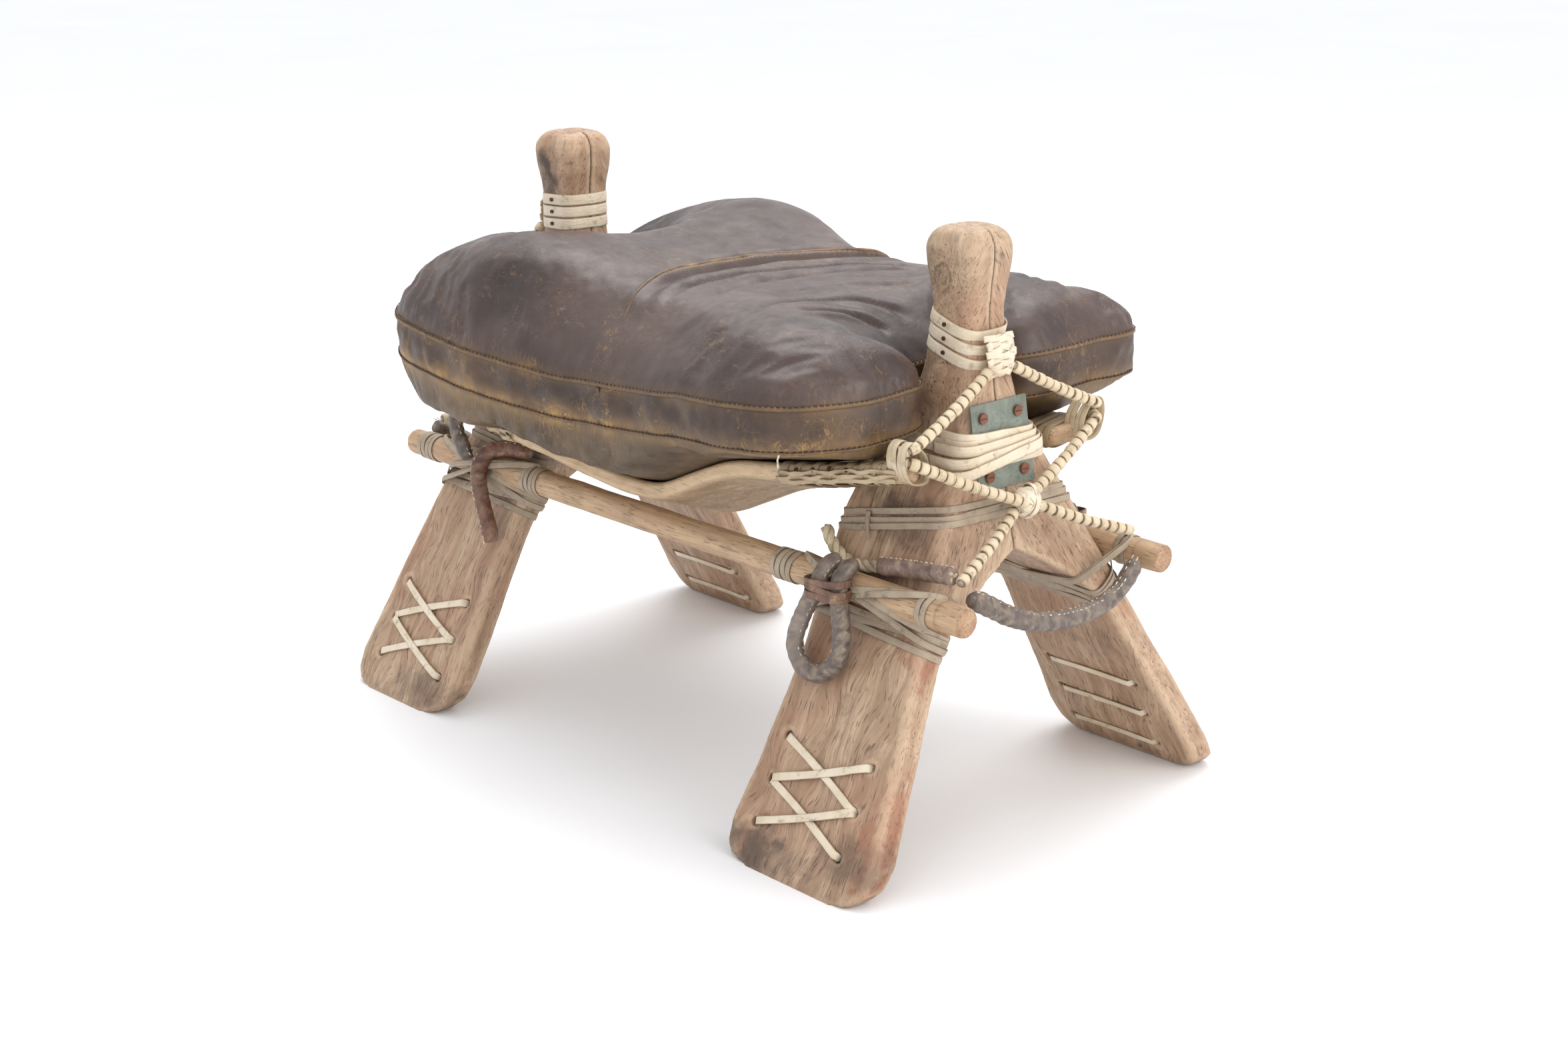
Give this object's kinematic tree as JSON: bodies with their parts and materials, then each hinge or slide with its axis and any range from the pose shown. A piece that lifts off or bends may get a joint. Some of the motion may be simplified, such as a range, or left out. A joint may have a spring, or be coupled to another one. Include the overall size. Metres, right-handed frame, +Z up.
{
  "type": "camel saddle stool",
  "caption": "Low stool shaped like a camel saddle: carved forks with pommel posts, side boards and rods lashed with rawhide, under a stuffed leather cushion.",
  "frame": {"origin": "centre of the bounding box on the floor, under the middle of the seat", "axes": "+X from the rear fork to the front fork, which has the shorter post; +Y to the rider's left; +Z up"},
  "size_m": [0.736, 0.44, 0.513],
  "materials": {
    "carved_wood": "hand carved hardwood, dry and waxed by use",
    "pale_wood": "split and scraped softwood, dry",
    "rawhide": "cream rawhide strip, satin",
    "old_rawhide": "older grey brown rawhide, dry",
    "sheet_metal": "dull grey green sheet, scuffed",
    "copper_screws": "tarnished, slotted",
    "iron_tacks": "rusted",
    "twisted_rope": "laid cotton rope, worn",
    "grey_leather": "dark grey brown leather over rope, stitched",
    "brown_leather": "red brown leather over rope, stitched and rubbed",
    "cushion_leather": "smooth dark brown leather over a soft filling, semi gloss with creases",
    "worn_leather": "matte dark brown leather over a soft filling, scuffed to tan"
  },
  "bodies": {
    "frame": {"front_right_leg": "carved_wood", "front_right_lacing": "rawhide", "front_right_board_binding": "rawhide", "front_right_rod_lashing": "old_rawhide", "front_left_leg": "carved_wood", "front_left_lacing": "rawhide", "front_left_board_binding": "rawhide", "front_left_rod_lashing": "old_rawhide", "front_joint_plate": "sheet_metal", "front_plate_screws": "copper_screws", "front_collar_straps": "rawhide", "front_collar_tacks": "iron_tacks", "front_collar_knot": "rawhide", "front_shoulder_lashing": "rawhide", "front_lower_lashing": "old_rawhide", "front_lattice_knot": "rawhide", "front_lattice_cords": "rawhide", "front_upper_cord_wraps": "rawhide", "front_middle_cord_wraps": "rawhide", "front_lower_cord_wraps": "rawhide", "front_swag": "grey_leather", "rear_right_leg": "carved_wood", "rear_right_lacing": "rawhide", "rear_right_board_binding": "rawhide", "rear_right_rod_lashing": "old_rawhide", "rear_left_leg": "carved_wood", "rear_left_lacing": "rawhide", "rear_left_board_binding": "rawhide", "rear_left_rod_lashing": "old_rawhide", "rear_joint_plate": "sheet_metal", "rear_plate_screws": "copper_screws", "rear_collar_straps": "rawhide", "rear_collar_tacks": "iron_tacks", "rear_collar_knot": "rawhide", "rear_shoulder_lashing": "rawhide", "rear_lower_lashing": "old_rawhide", "rear_lattice_knot": "rawhide", "rear_lattice_cords": "rawhide", "rear_upper_cord_wraps": "rawhide", "rear_middle_cord_wraps": "rawhide", "rear_lower_cord_wraps": "rawhide", "rear_swag": "grey_leather", "right_rod": "pale_wood", "right_side_board": "pale_wood", "left_rod": "pale_wood", "left_side_board": "pale_wood", "front_tie_rope": "twisted_rope", "front_rope_sleeve": "brown_leather", "rear_tie": "brown_leather"},
    "cushion": {"cushion_top": "cushion_leather", "cushion_band": "worn_leather", "cushion_bottom": "worn_leather"},
    "front_right_loop": {"front_right_loop": "brown_leather"},
    "front_left_loop": {"front_left_loop": "brown_leather"},
    "rear_right_tail": {"rear_right_tail": "brown_leather"},
    "rear_left_tail": {"rear_left_tail": "brown_leather"}
  },
  "joints": [
    {"name": "cushion_lift", "type": "slide", "parent": "frame", "child": "cushion", "axis": [0, 0, 1], "range_m": [0, 0.25]},
    {"name": "front_right_loop_swing", "type": "hinge", "parent": "frame", "child": "front_right_loop", "pos_m": [0.24, -0.11575, 0.213], "axis": [-1, 0, 0], "range_deg": [0, 28]},
    {"name": "rear_right_tail_swing", "type": "hinge", "parent": "frame", "child": "rear_right_tail", "pos_m": [-0.21, -0.11575, 0.213], "axis": [-1, 0, 0], "range_deg": [0, 18]},
    {"name": "front_left_loop_swing", "type": "hinge", "parent": "frame", "child": "front_left_loop", "pos_m": [0.24, 0.11575, 0.213], "axis": [1, 0, 0], "range_deg": [0, 28]},
    {"name": "rear_left_tail_swing", "type": "hinge", "parent": "frame", "child": "rear_left_tail", "pos_m": [-0.21, 0.11575, 0.213], "axis": [1, 0, 0], "range_deg": [0, 18]}
  ]
}
